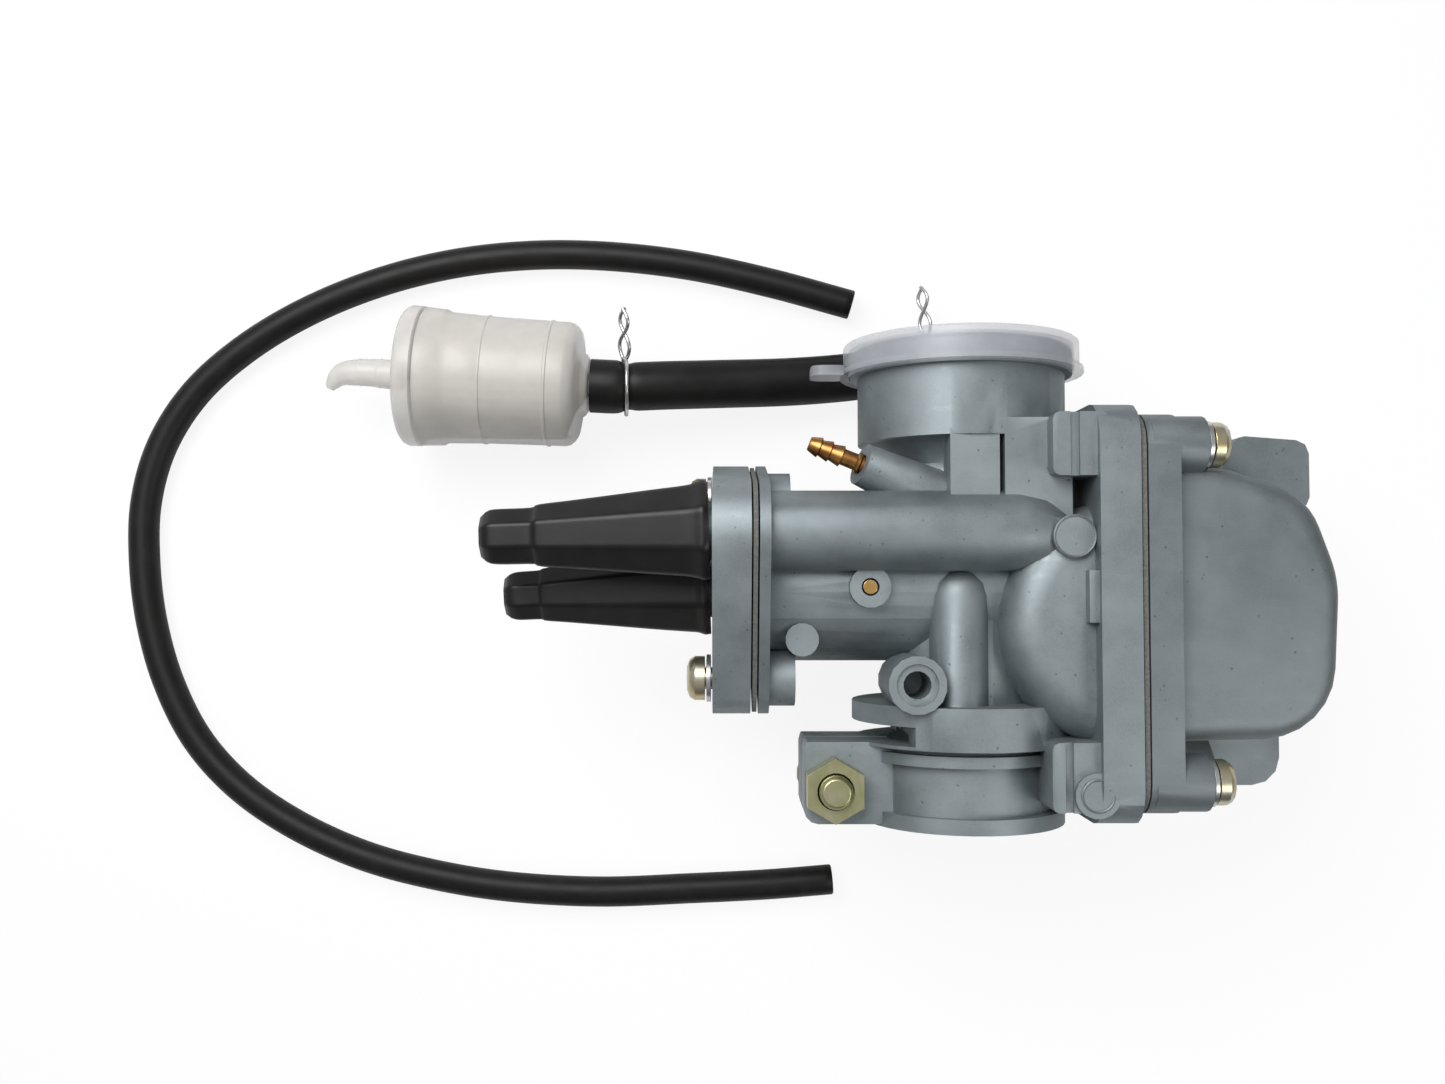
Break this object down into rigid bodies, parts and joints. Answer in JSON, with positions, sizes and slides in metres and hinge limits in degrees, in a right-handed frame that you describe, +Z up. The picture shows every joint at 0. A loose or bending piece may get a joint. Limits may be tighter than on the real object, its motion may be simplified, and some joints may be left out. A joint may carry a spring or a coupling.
{
  "type": "slide carburetor",
  "caption": "Slide-type motorcycle carburetor with float bowl, cable boots, clamp outlet, capped air bell, in-line fuel filter and vent hose.",
  "frame": {"origin": "centre of the bounding box's underside, leaving out the hoses and the filter: the table plane under the carburetor as it lies on its side", "axes": "+X towards the float bowl along the slide's axis, +Y towards the air inlet along the bore, +Z up"},
  "size_m": [0.2341, 0.1421, 0.0604],
  "materials": {
    "carburetor_body": "sand-textured die casting",
    "top_cap": "sand-textured die casting",
    "float_bowl": "sand-textured die casting",
    "top_cap_gasket": "fibre gasket sheet",
    "bowl_gasket": "fibre gasket sheet",
    "top_cap_screw_1": "yellow zinc plated steel",
    "top_cap_screw_2": "yellow zinc plated steel",
    "top_cap_washer_1": "yellow zinc plated steel",
    "top_cap_washer_2": "yellow zinc plated steel",
    "throttle_boot": "black rubber",
    "choke_boot": "black rubber",
    "throttle_cable_adjuster": "turned brass",
    "choke_cable_guide": "turned brass",
    "throttle_slide": "bright spring steel",
    "throttle_spring": "bright spring steel",
    "jet_needle": "turned brass",
    "needle_clip": "bright spring steel",
    "choke_plunger": "turned brass",
    "choke_spring": "bright spring steel",
    "needle_jet": "turned brass",
    "main_jet": "turned brass",
    "pilot_jet": "turned brass",
    "needle_valve_seat": "turned brass",
    "drain_screw": "turned brass",
    "float": "black moulded plastic",
    "float_pin": "bright spring steel",
    "float_needle": "bright spring steel",
    "clamp_bolt": "yellow zinc plated steel",
    "clamp_nut": "yellow zinc plated steel",
    "clamp_washer": "yellow zinc plated steel",
    "idle_screw": "turned brass",
    "idle_spring": "bright spring steel",
    "air_screw": "turned brass",
    "air_spring": "bright spring steel",
    "vent_nipple": "turned brass",
    "brass_plug": "turned brass",
    "fuel_inlet_pipe": "turned brass",
    "dust_cap": "translucent milky plastic",
    "fuel_hose": "black rubber",
    "vent_hose": "black rubber",
    "hose_clip_1": "bright spring steel",
    "hose_clip_2": "bright spring steel",
    "filter_body": "translucent milky plastic",
    "filter_end_cap": "translucent milky plastic",
    "filter_element": "pale pleated filter paper",
    "bowl_screw_1": "yellow zinc plated steel",
    "bowl_washer_1": "yellow zinc plated steel",
    "bowl_screw_2": "yellow zinc plated steel",
    "bowl_washer_2": "yellow zinc plated steel",
    "bowl_screw_3": "yellow zinc plated steel",
    "bowl_washer_3": "yellow zinc plated steel",
    "bowl_screw_4": "yellow zinc plated steel",
    "bowl_washer_4": "yellow zinc plated steel"
  },
  "bodies": {
    "carburetor": {"carburetor_body": "carburetor_body", "top_cap": "top_cap", "float_bowl": "float_bowl", "top_cap_gasket": "top_cap_gasket", "bowl_gasket": "bowl_gasket", "top_cap_screw_1": "top_cap_screw_1", "top_cap_screw_2": "top_cap_screw_2", "top_cap_washer_1": "top_cap_washer_1", "top_cap_washer_2": "top_cap_washer_2", "throttle_boot": "throttle_boot", "choke_boot": "choke_boot", "throttle_cable_adjuster": "throttle_cable_adjuster", "choke_cable_guide": "choke_cable_guide", "throttle_spring": "throttle_spring", "choke_spring": "choke_spring", "needle_jet": "needle_jet", "main_jet": "main_jet", "pilot_jet": "pilot_jet", "needle_valve_seat": "needle_valve_seat", "drain_screw": "drain_screw", "float_pin": "float_pin", "clamp_bolt": "clamp_bolt", "clamp_nut": "clamp_nut", "clamp_washer": "clamp_washer", "idle_spring": "idle_spring", "air_spring": "air_spring", "vent_nipple": "vent_nipple", "brass_plug": "brass_plug", "fuel_inlet_pipe": "fuel_inlet_pipe", "fuel_hose": "fuel_hose", "vent_hose": "vent_hose", "hose_clip_1": "hose_clip_1", "hose_clip_2": "hose_clip_2", "filter_body": "filter_body", "filter_end_cap": "filter_end_cap", "filter_element": "filter_element", "bowl_screw_1": "bowl_screw_1", "bowl_washer_1": "bowl_washer_1", "bowl_screw_2": "bowl_screw_2", "bowl_washer_2": "bowl_washer_2", "bowl_screw_3": "bowl_screw_3", "bowl_washer_3": "bowl_washer_3", "bowl_screw_4": "bowl_screw_4", "bowl_washer_4": "bowl_washer_4"},
    "throttle": {"throttle_slide": "throttle_slide", "jet_needle": "jet_needle", "needle_clip": "needle_clip"},
    "choke": {"choke_plunger": "choke_plunger"},
    "float": {"float": "float"},
    "float_valve": {"float_needle": "float_needle"},
    "idle_adjuster": {"idle_screw": "idle_screw"},
    "air_adjuster": {"air_screw": "air_screw"},
    "dust_cover": {"dust_cap": "dust_cap"}
  },
  "joints": [
    {"name": "throttle_lift", "type": "slide", "parent": "carburetor", "child": "throttle", "axis": [-1, 0, 0], "range_m": [0, 0.02], "stiffness_N_per_m": 250, "springref_m": -0.02, "deforming": ["throttle_spring"]},
    {"name": "choke_lift", "type": "slide", "parent": "carburetor", "child": "choke", "axis": [-1, 0, 0], "range_m": [0, 0.01], "stiffness_N_per_m": 150, "springref_m": -0.015, "deforming": ["choke_spring"]},
    {"name": "float_hinge", "type": "hinge", "parent": "carburetor", "child": "float", "pos_m": [0.04427, 0.01132, 0.036], "axis": [0, 0, 1], "range_deg": [0, 10]},
    {"name": "float_valve_slide", "type": "slide", "parent": "carburetor", "child": "float_valve", "axis": [1, 0, 0], "range_m": [0, 0.001]},
    {"name": "idle_screw_turn", "type": "hinge", "parent": "carburetor", "child": "idle_adjuster", "pos_m": [-0.00173, -0.01168, 0.005], "axis": [0, 0, 1], "range_deg": [-360, 360]},
    {"name": "air_screw_turn", "type": "hinge", "parent": "carburetor", "child": "air_adjuster", "pos_m": [0.02347, 0.02422, 0.0445], "axis": [0, 1, 0], "range_deg": [-360, 360]},
    {"name": "dust_cap_off", "type": "slide", "parent": "carburetor", "child": "dust_cover", "axis": [0, 1, 0], "range_m": [0, 0.02]}
  ],
  "couplings": [
    {"joint": "float_valve_slide", "follows": "float_hinge", "m_per_rad": 0.0055}
  ]
}
